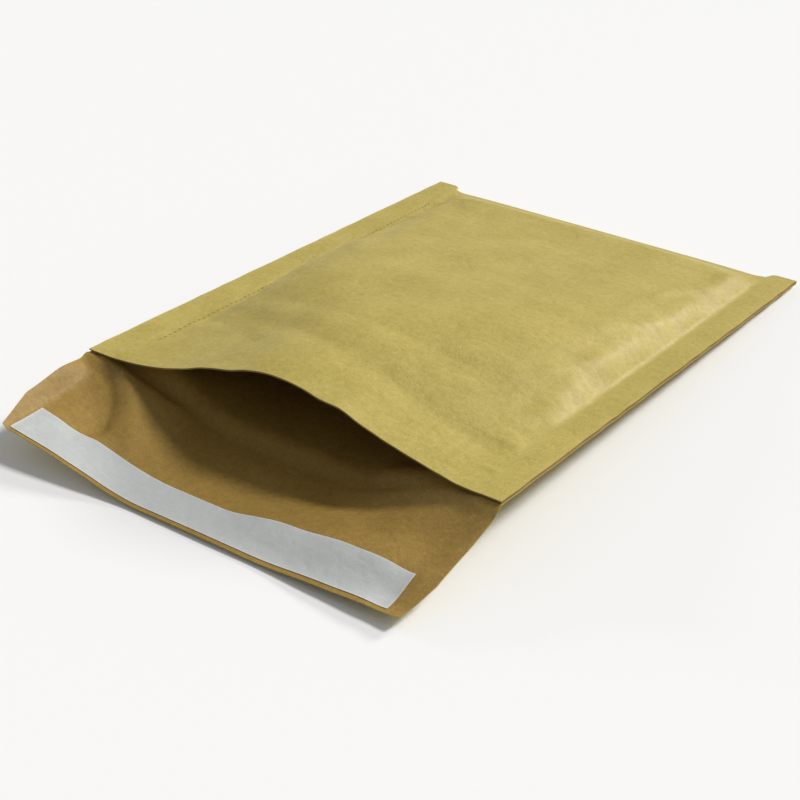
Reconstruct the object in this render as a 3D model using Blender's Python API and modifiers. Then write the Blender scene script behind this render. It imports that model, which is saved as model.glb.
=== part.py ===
"""Padded paper envelope, lying open on a table, in metres with +Z up.

It is made as the real one is: two plies of kraft paper with a slit-paper cushion between them, folded
once at the closed end and glued along both sides. The back panel runs on past the mouth as the flap,
which carries an adhesive band under a release liner.

Every sheet is the same folded surface at its own depth inside the outer skin. A point of that surface
is given by a column, which runs across the envelope, and a row, which runs from the flap's edge along
the back panel, round the fold and back along the front panel to the mouth.
"""

import math

import bmesh
import bpy
import numpy as np

MM = 0.001

# Outline of the envelope as it lies
WIDTH = 170 * MM
BODY_LENGTH = 220 * MM
FLAP_LENGTH = 46 * MM

# Side seams: flat bands, narrower where the mouth pulls them open
SEAM_BAND = 11 * MM
SEAM_BAND_AT_MOUTH = 7 * MM
SEAM_BAND_CHANGE = 30 * MM
SEAM_GLUE_INSET = 1.5 * MM
SEAM_GLUE_END_INSET = 6 * MM
SEAM_GLUE_MOUTH_INSET = 3 * MM

# Flap
FLAP_CORNER_RUN = 14.6 * MM
FLAP_CORNER_CUT = 3.7 * MM
FLAP_DRAW_IN = 1.4 * MM
FLAP_BORDER = 4 * MM
STRIP_WIDTH = 14.5 * MM
STRIP_FROM_FLAP_EDGE = 2 * MM
STRIP_LEFT_INSET = 4.4 * MM
STRIP_RIGHT_INSET = 7.6 * MM
ADHESIVE_INSET = 1 * MM

# Thickness of each layer and the clearance between neighbours
OUTER_PLY = 0.18 * MM
INNER_PLY = 0.15 * MM
CUSHION_DEPTH = 3 * MM
CUSHION_SHEET = 0.6 * MM
SEAM_GLUE = 0.15 * MM
ADHESIVE = 0.12 * MM
LINER = 0.12 * MM
CLEARANCE = 0.2 * MM

# The cushion stops short of the mouth and of the seams
CUSHION_FROM_MOUTH = 9 * MM
CUSHION_RAMP = 8 * MM

# How the bag stands open: heights of the seams and of the front panel above the table
SEAM_LIFT_LEFT = 16 * MM
SEAM_LIFT_RIGHT = 19 * MM
SEAM_LIFT_AT_FOLD = 1.2 * MM
FLAP_LIFT_LEFT = 10.5 * MM
FLAP_LIFT_RIGHT = 4.3 * MM
FLAP_LIFT_MIDDLE = 1.3 * MM
FLAP_SIDE_CURL = 3.5 * MM
FLAP_SIDE_CURL_WIDTH = 7 * MM
FLAP_TURN = 15 * MM
FLAP_ARCH = 4.7 * MM
FLAP_ARCH_AT = 0.62
FLAP_ARCH_SIDE = 27 * MM
FLAP_ARCH_END = 60 * MM
FLAP_ARCH_END_SHARE = 0.6
CROWN_HEIGHT = 33 * MM
CROWN_FROM_CENTRE = -2 * MM
CROWN_SPREAD_LEFT = 29 * MM
CROWN_SPREAD_RIGHT = 34 * MM
CROWN_RUN = 45 * MM
PADDED_THICKNESS = 9.5 * MM
FOLD_THICKNESS = 4 * MM
FOLD_TAPER = 18 * MM
MOUTH_SET_BACK = 2.5 * MM
FOLD_SET_BACK = 6 * MM
TABLE_CONTACT_AT_MOUTH = 19 * MM

# Shape of the curl and of the bulge, as shares of their own width or run
CURL_START = 0.16
BELL_FOOT = 8
PILLOW_AT_MOUTH = 2.2
PILLOW_GAIN = 6
PILLOW_FROM = 0.45
EAR_FROM = 0.9
EAR_CHANGE = 0.3
CUSHION_RAMP_START = 0.8

# Columns from the middle to one side: up to 1 they divide the panel, from 1 to 2 the seam band
HALF_COLUMNS = (0, 0.14, 0.28, 0.42, 0.55, 0.67, 0.77, 0.85, 0.91, 1, 1.5, 2)
CUSHION_BORDER = 0.95

# Rows as shares of the stretch that they divide
BODY_ROWS = (0.1, 0.17, 0.26, 0.36, 0.48, 0.62, 0.76, 0.87, 0.925, 0.965)
FLAP_ROW_NEAR_MOUTH = 0.8
MOUTH_ROW = 0.3
FOLD_STEPS = 5
LEAST_ROW = 0.5 * MM
SLIT_SHARE = 0.8

# Colours as the daylight on the real paper shows them
GOLD_KRAFT = (0.50, 0.42, 0.16)
BROWN_KRAFT = (0.36, 0.24, 0.10)
SLIT_PAPER = (0.58, 0.43, 0.24)
LINER_WHITE = (0.62, 0.64, 0.62)
GLUE_AMBER = (0.62, 0.50, 0.28)

HALF = WIDTH / 2
MIDDLE_Y = (BODY_LENGTH - FLAP_LENGTH) / 2
INNER_PLY_DEPTH = OUTER_PLY + CLEARANCE
LINED_DEPTH = INNER_PLY_DEPTH + INNER_PLY
GLUE_DEPTH = LINED_DEPTH + CLEARANCE
BAND_THICKNESS = 2 * GLUE_DEPTH + SEAM_GLUE
CUSHION_ROOM = CUSHION_DEPTH + CLEARANCE
COLUMNS = [-c for c in reversed(HALF_COLUMNS[1:])] + list(HALF_COLUMNS)


def smooth(t):
    """0 up to t = 0, 1 from t = 1, and a soft step between them."""
    t = np.clip(t, 0, 1)
    return t * t * (3 - 2 * t)


def half_width(y):
    """Half the sheet's width at y, measured from the mouth: the flap draws in and its corners are cut."""
    out = -y
    drawn = FLAP_DRAW_IN * smooth(out / FLAP_LENGTH * 2)
    cut = np.clip((out - (FLAP_LENGTH - FLAP_CORNER_RUN)) / FLAP_CORNER_RUN, 0, 1)
    return HALF - drawn - FLAP_CORNER_CUT * cut


def panel_half(y):
    """Distance from the middle to the inner border of the side band."""
    body = SEAM_BAND_AT_MOUTH + (SEAM_BAND - SEAM_BAND_AT_MOUTH) * smooth(y / SEAM_BAND_CHANGE)
    flap = FLAP_BORDER + (SEAM_BAND_AT_MOUTH - FLAP_BORDER) * smooth(1 + y / FLAP_LENGTH)
    return half_width(y) - np.where(y < 0, flap, body)


def across(column, y):
    """The place across the envelope of a column: the panel's share, then the band's."""
    inner = panel_half(y)
    band = half_width(y) - inner
    far = np.clip(np.abs(column) - 1, 0, 1)
    return np.sign(column) * (np.minimum(np.abs(column), 1) * inner + far * band)


def seam_lift(side, y):
    """Height of the seam's underside: falling evenly to the fold, and quickly along the flap."""
    mouth = np.where(side < 0, SEAM_LIFT_LEFT, SEAM_LIFT_RIGHT)
    tip = np.where(side < 0, FLAP_LIFT_LEFT, FLAP_LIFT_RIGHT)
    body = mouth + (SEAM_LIFT_AT_FOLD - mouth) * y / BODY_LENGTH
    out = np.clip(-y / FLAP_LENGTH, 0, 1)
    return np.where(y < 0, tip + (mouth - tip) * (1 - out) ** 2, body)


def curl(t):
    """A sheet's rise from the table, from 0 to 1: a soft start, then nearly straight."""
    t = np.clip(t, 0, 1)
    start = t * t / (4 * CURL_START)
    bent = np.where(t < 2 * CURL_START, start, t - CURL_START) / (1 - CURL_START)
    return (bent + np.sin(bent * math.pi / 2)) / 2


def flap_arch(x, out):
    """The buckle of the flap's right half: none at the mouth or at the edge, and lower towards the side."""
    along = smooth(out / FLAP_ARCH_AT) * smooth((1 - out) / (1 - FLAP_ARCH_AT))
    end = 1 - (1 - FLAP_ARCH_END_SHARE) * smooth((x - FLAP_ARCH_END) / (HALF - FLAP_ARCH_END))
    return FLAP_ARCH * along * smooth(x / FLAP_ARCH_SIDE) * end


def flap_spring(x, y):
    """What the flap adds to its curl: its left side turns up, its middle lifts and its right half arches."""
    out = np.clip(-y / FLAP_LENGTH, 0, 1)
    side = smooth((-x - HALF + FLAP_SIDE_CURL_WIDTH) / FLAP_SIDE_CURL_WIDTH)
    turned = FLAP_SIDE_CURL * side * smooth(-y / FLAP_TURN)
    lifted = FLAP_LIFT_MIDDLE * out**2 * (1 - smooth(np.abs(x) / HALF))
    return turned + lifted + flap_arch(x, out)


def back_skin(x, y):
    """Height of the back panel's and the flap's underside: flat on the table, curling up to the seams."""
    lift = seam_lift(x, y)
    mouth_lift = seam_lift(x, np.zeros_like(y))
    inner = panel_half(y)
    turned = smooth(-y / FLAP_TURN)
    band_end = inner + (half_width(y) - inner) * turned
    reach = (panel_half(np.zeros_like(y)) - TABLE_CONTACT_AT_MOUTH) * lift / mouth_lift
    flat = np.where(y < 0, TABLE_CONTACT_AT_MOUTH, inner - reach)
    return lift * curl((np.abs(x) - flat) / (band_end - flat)) + flap_spring(x, y)


def crown(x, y):
    """Share of the front panel's bulge at a point: a bell at the mouth, a flat-topped pillow at the fold."""
    inner = panel_half(y)
    off = x - CROWN_FROM_CENTRE
    width = np.where(off < 0, CROWN_SPREAD_LEFT, CROWN_SPREAD_RIGHT)
    low = math.exp(-((HALF / CROWN_SPREAD_RIGHT) ** 2) / 2)
    bell = np.clip((np.exp(-((off / width) ** 2) / 2) - low) / (1 - low), 0, 1)
    share = np.clip(np.abs(x) / inner, 0, 1)
    bell = bell * (1 - share**BELL_FOOT)
    along = smooth(y / BODY_LENGTH)
    pillow = 1 - share ** (PILLOW_AT_MOUTH + PILLOW_GAIN * along)
    return bell + (pillow - bell) * smooth(y / (PILLOW_FROM * BODY_LENGTH))


def front_skin(x, y):
    """Height of the front panel's upper side: the seams' height plus the bulge, pressed thin at the fold."""
    left = seam_lift(np.full_like(x, -1), y)
    right = seam_lift(np.full_like(x, 1), y)
    inner = panel_half(y)
    seams = left + (right - left) * (np.clip(x / inner, -1, 1) + 1) / 2
    fall = np.clip((y - CROWN_RUN) / (BODY_LENGTH - FOLD_SET_BACK - CROWN_RUN), 0, 1)
    top = CROWN_HEIGHT + (PADDED_THICKNESS - CROWN_HEIGHT) * (fall + smooth(fall)) / 2
    free = smooth((BODY_LENGTH - FOLD_SET_BACK - y) / FOLD_TAPER)
    top = FOLD_THICKNESS + (top - FOLD_THICKNESS) * free
    middle = (left + right) / 2 + BAND_THICKNESS
    return seams + BAND_THICKNESS + (top - middle) * crown(x, y)


def fold_at(column):
    """Where a column's straight legs end, the heights of its two skins there and half their distance."""
    ear = smooth((np.abs(column) - EAR_FROM) / EAR_CHANGE)
    end = BODY_LENGTH - FOLD_SET_BACK * (1 - ear)
    x = across(column, end)
    straight = end - (front_skin(x, end) - back_skin(x, end)) / 2
    x = across(column, straight)
    low, high = back_skin(x, straight), front_skin(x, straight)
    return straight, low, high, (high - low) / 2


def cushion_share(x, y):
    """Share of the cushion's full depth that fits between the panels at a point."""
    gap = front_skin(x, y) - back_skin(x, y)
    room = (gap - BAND_THICKNESS) / (2 * CUSHION_ROOM)
    ramp = smooth((y - CUSHION_FROM_MOUTH) / CUSHION_RAMP + CUSHION_RAMP_START)
    return np.clip(room, 0, 1) * ramp


def spread(distances):
    """The distances in order, leaving out any that is nearly its neighbour's."""
    kept = []
    for distance in sorted(distances):
        if not kept or distance - kept[-1] > LEAST_ROW:
            kept.append(distance)
    return kept


def between(places, first, last):
    """The places that lie well inside a stretch."""
    return [place for place in places if first + LEAST_ROW < place < last - LEAST_ROW]


def flap_edges():
    """Distances from the flap's edge at which the flap's rows lie."""
    strip_end = STRIP_FROM_FLAP_EDGE + STRIP_WIDTH
    on_strip = [STRIP_FROM_FLAP_EDGE, (STRIP_FROM_FLAP_EDGE + strip_end) / 2, strip_end]
    plain = [(strip_end + FLAP_LENGTH) / 2, FLAP_ROW_NEAR_MOUTH * FLAP_LENGTH]
    return spread([0, FLAP_CORNER_RUN, *on_strip, *plain])


def body_rows(near_mouth):
    """The stations of a sheet's body: each a leg of the fold and the share of it from that leg's start."""
    shares = [*[y / BODY_LENGTH for y in near_mouth], *BODY_ROWS]
    back = [("back", share) for share in shares]
    fold = [("fold", step / FOLD_STEPS) for step in range(FOLD_STEPS + 1)]
    front = [("front", 1 - share) for share in reversed(shares)]
    return back + fold + front


def ply_rows():
    """The stations of a whole ply, from the flap's edge to the mouth of the front panel."""
    flap = [("flap", 1 - out / FLAP_LENGTH) for out in flap_edges()]
    return flap + body_rows([0, MOUTH_ROW * CUSHION_FROM_MOUTH, CUSHION_FROM_MOUTH])


def station(column, leg, share, depth, cushion):
    """The points of one row, a depth inside the outer skin plus a share of the cushion's room."""
    if leg == "flap":
        y = np.full_like(column, -FLAP_LENGTH * share)
        x = across(column, y)
        return np.stack([x, y, back_skin(x, y) + depth], -1)
    straight, low, high, radius = fold_at(column)
    if leg == "fold":
        x = across(column, straight)
        inset = depth + cushion * CUSHION_ROOM * cushion_share(x, straight)
        angle = share * math.pi
        y = straight + (radius - inset) * math.sin(angle)
        return np.stack([x, y, (high + low) / 2 - (radius - inset) * math.cos(angle)], -1)
    if leg == "back":
        y = straight * share
        x = across(column, y)
        inset = depth + cushion * CUSHION_ROOM * cushion_share(x, y)
        return np.stack([x, y, back_skin(x, y) + inset], -1)
    mouth = MOUTH_SET_BACK * crown(across(column, np.zeros_like(column)), np.zeros_like(column))
    y = mouth + (straight - mouth) * (1 - share)
    x = across(column, y)
    inset = depth + cushion * CUSHION_ROOM * cushion_share(x, y)
    return np.stack([x, y, front_skin(x, y) - inset], -1)


def folded(columns, stations, depth, cushion):
    """All the points of a folded sheet, row by row."""
    across_it = np.array(columns, float)
    return np.stack([station(across_it, leg, share, depth, cushion) for leg, share in stations])


def material(name, colour, roughness):
    """A matt paper or glue."""
    made = bpy.data.materials.new(name)
    made.use_nodes = True
    shader = made.node_tree.nodes["Principled BSDF"]
    shader.inputs["Base Color"].default_value = (*colour, 1)
    shader.inputs["Roughness"].default_value = roughness
    shader.inputs["Metallic"].default_value = 0
    return made


def sheet(name, points, thickness, finish):
    """A grid of points as one sheet, whose thickness Solidify adds on the envelope's inside."""
    last_row, last_column = points.shape[0] - 1, points.shape[1] - 1
    grid = bmesh.new()
    bmesh.ops.create_grid(grid, x_segments=last_column, y_segments=last_row, size=1)
    for vertex in grid.verts:
        column = round((vertex.co.x + 1) / 2 * last_column)
        row = round((vertex.co.y + 1) / 2 * last_row)
        vertex.co = points[row, column]
    mesh = bpy.data.meshes.new(name)
    grid.to_mesh(mesh)
    grid.free()
    mesh.shade_smooth()
    mesh.materials.append(finish)
    made = bpy.data.objects.new(name, mesh)
    made.location = (0, -MIDDLE_Y, 0)
    envelope.objects.link(made)
    ply = made.modifiers.new("thickness", "SOLIDIFY")
    ply.thickness = thickness
    ply.offset = 1
    return made


def make_plies():
    """The outer and the inner ply, each one folded sheet with the flap on its back panel."""
    gold = material("gold_kraft", GOLD_KRAFT, 0.5)
    brown = material("brown_kraft", BROWN_KRAFT, 0.8)
    sheet("outer_sheet", folded(COLUMNS, ply_rows(), 0, 0), OUTER_PLY, gold)
    sheet("inner_sheet", folded(COLUMNS, ply_rows(), INNER_PLY_DEPTH, 1), INNER_PLY, brown)


def make_padding():
    """The slit-paper cushion: strips that lie against one ply and then the other, in staggered rows."""
    columns = [c for c in COLUMNS if abs(c) < CUSHION_BORDER]
    stations = body_rows([CUSHION_FROM_MOUTH])
    outward = folded(columns, stations, INNER_PLY_DEPTH, 0)
    inward = folded(columns, stations, OUTER_PLY - CUSHION_SHEET, 1)
    places = [(row, share) for row in range(len(stations) - 1) for share in (0, SLIT_SHARE)]
    points = []
    for row, share in places:
        lies_outward = (np.arange(len(columns))[:, None] + row) % 2 == 1
        near = outward[row] * (1 - share) + outward[row + 1] * share
        far = inward[row] * (1 - share) + inward[row + 1] * share
        points.append(np.where(lies_outward, near, far))
    sheet("padding", np.stack(points), CUSHION_SHEET, material("slit_paper", SLIT_PAPER, 0.9))


def flap_height(x, outs):
    """Height of the flap's skin at places x, distances out from its edge, read from the ply's own rows."""
    rows = [*flap_edges(), FLAP_LENGTH]
    heights = []
    for out in rows:
        y = np.full(len(COLUMNS), out - FLAP_LENGTH)
        columns = across(np.array(COLUMNS, float), y)
        heights.append(np.interp(x, columns, back_skin(columns, y)))
    heights = np.array(heights)
    return np.stack([np.interp(outs, rows, heights[:, k]) for k in range(len(x))], 1)


def strip_points(inset, depth):
    """A band along the flap, drawn in at its ends and long sides by an inset, lying on the inner ply."""
    middle = FLAP_LENGTH - STRIP_FROM_FLAP_EDGE - STRIP_WIDTH / 2
    left = -half_width(-middle) + STRIP_LEFT_INSET + inset
    right = half_width(-middle) - STRIP_RIGHT_INSET - inset
    columns = across(np.array(COLUMNS, float), np.full(len(COLUMNS), -middle))
    x = np.array([left, *between(columns, left, right), right])
    first, last = STRIP_FROM_FLAP_EDGE + inset, STRIP_FROM_FLAP_EDGE + STRIP_WIDTH - inset
    outs = np.array([first, *between(flap_edges(), first, last), last])
    z = flap_height(x, outs) + depth
    across_it, along = np.meshgrid(x, outs - FLAP_LENGTH)
    return np.stack([across_it, along, z], -1)


def make_closure():
    """The adhesive band on the flap's inner face and the release liner that covers it."""
    adhesive_depth = LINED_DEPTH + CLEARANCE
    liner_depth = adhesive_depth + ADHESIVE + CLEARANCE
    glue = material("closure_glue", GLUE_AMBER, 0.35)
    white = material("liner_white", LINER_WHITE, 0.45)
    sheet("closure_adhesive", strip_points(ADHESIVE_INSET, adhesive_depth), ADHESIVE, glue)
    sheet("release_liner", strip_points(0, liner_depth), LINER, white)


def make_seam_glue(name, side, glue):
    """The line of glue that joins the two lined panels inside one side band."""
    last = BODY_LENGTH - SEAM_GLUE_END_INSET
    lines = []
    for y in spread([SEAM_GLUE_MOUTH_INSET, SEAM_BAND_CHANGE / 2, SEAM_BAND_CHANGE, last]):
        inner = panel_half(y) + SEAM_GLUE_INSET
        outer = half_width(y) - SEAM_GLUE_INSET
        z = float(seam_lift(side, y)) + GLUE_DEPTH
        lines.append([(x, y, z) for x in sorted((side * inner, side * outer))])
    sheet(name, np.array(lines, float), SEAM_GLUE, glue)


for old in list(bpy.data.objects):
    bpy.data.objects.remove(old, do_unlink=True)
envelope = bpy.data.collections.new("padded_envelope")
bpy.context.scene.collection.children.link(envelope)
make_plies()
make_padding()
make_closure()
seam_glue = material("seam_glue", GLUE_AMBER, 0.5)
make_seam_glue("seam_glue_left", -1, seam_glue)
make_seam_glue("seam_glue_right", 1, seam_glue)
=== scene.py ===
# %% Load the frame
import math

import bpy
import numpy as np
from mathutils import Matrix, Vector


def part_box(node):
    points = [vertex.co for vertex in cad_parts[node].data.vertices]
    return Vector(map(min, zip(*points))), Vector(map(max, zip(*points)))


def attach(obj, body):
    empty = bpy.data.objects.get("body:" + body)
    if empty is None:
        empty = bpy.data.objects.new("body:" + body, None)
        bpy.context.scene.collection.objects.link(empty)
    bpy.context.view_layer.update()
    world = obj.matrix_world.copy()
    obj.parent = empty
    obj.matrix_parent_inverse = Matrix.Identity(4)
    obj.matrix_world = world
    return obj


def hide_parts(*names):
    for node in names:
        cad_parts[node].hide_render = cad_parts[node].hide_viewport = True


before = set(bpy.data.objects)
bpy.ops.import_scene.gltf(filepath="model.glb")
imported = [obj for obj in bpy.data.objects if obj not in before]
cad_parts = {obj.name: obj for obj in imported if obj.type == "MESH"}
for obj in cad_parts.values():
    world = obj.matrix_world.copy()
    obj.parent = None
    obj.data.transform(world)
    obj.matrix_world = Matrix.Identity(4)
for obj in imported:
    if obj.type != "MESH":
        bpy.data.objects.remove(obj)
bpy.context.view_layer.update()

MM = 0.001
print("solids in the frame:", ", ".join(sorted(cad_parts)))

# %% [markdown]
# ## The bag and its sizes
# This is a padded mailing bag of kraft paper, lying open on a table. Two plies of paper with a slit-paper
# cushion between them are folded once at the closed end and glued along both sides. The back ply runs on
# past the mouth as the flap, which carries a release strip over its glue.
#
# The solids say how large it is. So the width, the length and the height are read from them, and only the
# sizes that a box can't tell are written here. Lengths along the bag are measured from its mouth: positive
# towards the closed end, negative along the flap.

# %% Sizes of the bag
ply_low, ply_high = (np.array(corner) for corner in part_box("outer_sheet"))
strip_low, strip_high = (np.array(corner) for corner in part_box("release_liner"))
HALF = (ply_high[0] - ply_low[0]) / 2
FLAP = 46 * MM
BODY = ply_high[1] - ply_low[1] - FLAP
MOUTH_Y = ply_low[1] + FLAP
CROWN_TOP = ply_high[2]
OUTER_PLY = 0.18 * MM
INNER_PLY = 0.15 * MM
SEAM_GLUE = 0.15 * MM
CLEARANCE = 0.2 * MM
CUSHION_ROOM = 3.2 * MM
INNER_DEPTH = OUTER_PLY + CLEARANCE
LINED_DEPTH = INNER_DEPTH + INNER_PLY
BAND_THICKNESS = 2 * (LINED_DEPTH + CLEARANCE) + SEAM_GLUE
print(f"bag {2000 * HALF:.0f} mm wide, body {1000 * BODY:.0f} mm and flap {1000 * FLAP:.0f} mm long")

# %% [markdown]
# ## The outline of the paper
# The sheet is a plain rectangle whose flap draws in a little and has its two corners cut off. Along both
# sides runs a flat band where the panels are glued. A curve could trace the outline, but a rule that gives
# half the width at any place along the bag is easier to build on: every other shape here asks it.

# %% Outline of the sheet
CORNER_RUN = 14.6 * MM
CORNER_CUT = 3.7 * MM
DRAW_IN = 1.4 * MM
DRAWN_IN_BY = 0.5
KNIFE_WAVER = 0.1 * MM
KNIFE_PACE = 3.1 * MM
KNIFE_SWAY = 2
KNIFE_SWAY_PACE = 11 * MM


def soft_step(t):
    """0 below t = 0, 1 above t = 1, and three t squared less two t cubed between them."""
    t = np.clip(t, 0, 1)
    return t * t * (3 - 2 * t)


def half_width(y):
    """Half the width less what the flap draws in, what its cut corners take off and the knife's waver."""
    out = -y
    waver = KNIFE_WAVER * (1 + np.sin(y / KNIFE_PACE + KNIFE_SWAY * np.sin(y / KNIFE_SWAY_PACE)))
    drawn = DRAW_IN * soft_step(out / FLAP / DRAWN_IN_BY) + waver
    return HALF - drawn - CORNER_CUT * np.clip((out - FLAP + CORNER_RUN) / CORNER_RUN, 0, 1)


print(f"flap {2000 * half_width(np.array(-FLAP)):.0f} mm wide at its edge")

# %% Side bands
FLAP_BORDER = 4 * MM
BAND = 11 * MM
BAND_AT_MOUTH = 7 * MM
BAND_CHANGE = 30 * MM


def panel_half(y):
    """Half the width less the side band, which is narrower at the mouth and on the flap."""
    body = BAND_AT_MOUTH + (BAND - BAND_AT_MOUTH) * soft_step(y / BAND_CHANGE)
    flap = FLAP_BORDER + (BAND_AT_MOUTH - FLAP_BORDER) * soft_step(1 + y / FLAP)
    return half_width(y) - np.where(y < 0, flap, body)


def across(column, y):
    """The place across the bag of a column: up to 1 it divides the panel, from 1 to 2 the band."""
    inner = panel_half(y)
    far = np.clip(np.abs(column) - 1, 0, 1)
    return np.sign(column) * (np.minimum(np.abs(column), 1) * inner + far * (half_width(y) - inner))


print(f"panel {2000 * panel_half(np.array(BODY)):.0f} mm wide between the bands")

# %% [markdown]
# ## How the bag stands open
# Something once filled the mouth, so the paper remembers a crown there: the front panel stands high in the
# middle, the side seams are pulled up from the table, and the flap curls with them. Cloth simulation could
# find such a form, but paper bends without stretching and keeps its creases, so a rule for the height of
# each panel is truer and repeats exactly. Both rules are the ones that the solids were made with, sampled
# here much more finely. Only the curl of the flap's left side is added.

# %% Height of the seams
SEAM_LIFT = (16 * MM, 19 * MM)
TIP_LIFT = (10.5 * MM, 4.3 * MM)
FOLD_LIFT = 1.2 * MM


def seam_lift(side, y):
    """Height of a seam: it falls evenly from the mouth to the fold, and as a square along the flap."""
    mouth = np.where(side < 0, *SEAM_LIFT)
    tip = np.where(side < 0, *TIP_LIFT)
    out = np.clip(-y / FLAP, 0, 1)
    body = mouth + (FOLD_LIFT - mouth) * y / BODY
    return np.where(y < 0, tip + (mouth - tip) * (1 - out) ** 2, body)


print(f"seams {1000 * seam_lift(-1, BODY / 2):.1f} and {1000 * seam_lift(1, BODY / 2):.1f} mm high halfway")

# %% Height of the back panel
CURL_START = 0.16
TABLE_CONTACT = 19 * MM
FLAP_TURN = 15 * MM
MIDDLE_LIFT = 1.3 * MM
ARCH = 4.7 * MM
ARCH_AT = 0.62
ARCH_SIDE = 27 * MM
ARCH_END = 60 * MM
ARCH_END_SHARE = 0.6
SIDE_CURL = 5.2 * MM
SIDE_CURL_WIDTH = 8 * MM
SIDE_CURL_TURN = 18 * MM
SIDE_SPRING = 0.3
SIDE_SPRING_TURN = 2 * MM


def curl(t):
    """Rise from the table: a parabola at the start, then the mean of a straight line and a sine."""
    t = np.clip(t, 0, 1)
    start = t * t / (4 * CURL_START)
    bent = np.where(t < 2 * CURL_START, start, t - CURL_START) / (1 - CURL_START)
    return (bent + np.sin(bent * math.pi / 2)) / 2


def flap_arch(x, out):
    """The buckle of the flap's right half: none at the mouth or at the edge, and lower towards the side."""
    along = soft_step(out / ARCH_AT) * soft_step((1 - out) / (1 - ARCH_AT))
    end = 1 - (1 - ARCH_END_SHARE) * soft_step((x - ARCH_END) / (HALF - ARCH_END))
    return ARCH * along * soft_step(x / ARCH_SIDE) * end


def side_curl(x, y):
    """Curl of the flap's left side: a share of it springs up at the mouth, and the rest comes slowly."""
    side = soft_step((-x - HALF + SIDE_CURL_WIDTH) / SIDE_CURL_WIDTH)
    early, late = soft_step(-y / SIDE_SPRING_TURN), soft_step(-y / SIDE_CURL_TURN)
    return SIDE_CURL * side * (SIDE_SPRING * early + (1 - SIDE_SPRING) * late)


def back_height(x, y):
    """Height of the back panel's underside: nothing in the middle, and the seam's lift times the curl."""
    lift = seam_lift(x, y)
    inner = panel_half(y)
    reach = (panel_half(0 * y) - TABLE_CONTACT) * lift / seam_lift(x, 0 * y)
    flat = np.where(y < 0, TABLE_CONTACT, inner - reach)
    band_end = inner + (half_width(y) - inner) * soft_step(-y / FLAP_TURN)
    out = np.clip(-y / FLAP, 0, 1)
    spring = side_curl(x, y) + MIDDLE_LIFT * out**2 * (1 - soft_step(np.abs(x) / HALF))
    return lift * curl((np.abs(x) - flat) / (band_end - flat)) + spring + flap_arch(x, out)


middle = np.zeros(1)
print(f"flap's middle {1000 * back_height(middle, middle - FLAP)[0]:.1f} mm above the table")

# %% Height of the front panel
CROWN_OFF = -2 * MM
CROWN_SPREAD = (29 * MM, 34 * MM)
CROWN_RUN = 45 * MM
BELL_FOOT = 8
PILLOW_AT_MOUTH = 2.2
PILLOW_GAIN = 6
PILLOW_FROM = 0.45
PADDED_THICKNESS = 9.5 * MM
FOLD_THICKNESS = 4 * MM
FOLD_TAPER = 18 * MM
FOLD_SET_BACK = 6 * MM


def crown(x, y):
    """Share of the bulge: a bell across the mouth that changes into a flat-topped pillow."""
    share = np.clip(np.abs(x) / panel_half(y), 0, 1)
    off = x - CROWN_OFF
    spread = np.where(off < 0, *CROWN_SPREAD)
    low = math.exp(-((HALF / CROWN_SPREAD[1]) ** 2) / 2)
    bell = np.clip((np.exp(-((off / spread) ** 2) / 2) - low) / (1 - low), 0, 1) * (1 - share**BELL_FOOT)
    pillow = 1 - share ** (PILLOW_AT_MOUTH + PILLOW_GAIN * soft_step(y / BODY))
    return bell + (pillow - bell) * soft_step(y / (PILLOW_FROM * BODY))


def front_height(x, y):
    """Height of the front panel's upper side: the seams' height plus the bulge, pressed thin at the fold."""
    left, right = seam_lift(-1, y), seam_lift(1, y)
    seams = left + (right - left) * (np.clip(x / panel_half(y), -1, 1) + 1) / 2
    fall = np.clip((y - CROWN_RUN) / (BODY - FOLD_SET_BACK - CROWN_RUN), 0, 1)
    top = CROWN_TOP + (PADDED_THICKNESS - CROWN_TOP) * (fall + soft_step(fall)) / 2
    top = FOLD_THICKNESS + (top - FOLD_THICKNESS) * soft_step((BODY - FOLD_SET_BACK - y) / FOLD_TAPER)
    return seams + BAND_THICKNESS + (top - (left + right) / 2 - BAND_THICKNESS) * crown(x, y)


print(f"crown {1000 * front_height(middle, middle)[0]:.1f} mm high at the mouth")

# %% [markdown]
# ## Creases and slack
# Real paper is never as smooth as a formula. The lip of the mouth is a little wavy, a soft valley runs
# across the front panel behind it, and short creases run out of the mouth's corners and of the far corner.
# They could be painted as bump, but a crease that is really there also bends the outline and catches the
# light from every side. So each one is a bell of the distance from a line, and broad slack is a sum of a
# few seeded waves.

# %% Waves and creases
WAVE_SHORTER = 1.35
WAVE_LOWER = 1.25
WAVES_HIGH = 2.2
TIP_OF_WIDTH = 6
CREASE_POWER = 1.3
LEAN_TURN = 4
END_FADE = 4
END_LEFT = 0.5


def waves(x, y, seed, longest, count):
    """A sum of sine waves in seeded directions, each shorter and lower than the last, about 1 high."""
    dice = np.random.default_rng(seed)
    total = 0 * x
    for k in range(count):
        angle, phase = dice.uniform(0, 2 * math.pi, 2)
        length = longest / WAVE_SHORTER**k
        along = x * math.cos(angle) + y * math.sin(angle)
        total = total + np.sin(2 * math.pi * along / length + phase) / WAVE_LOWER**k
    return total / WAVES_HIGH


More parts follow.
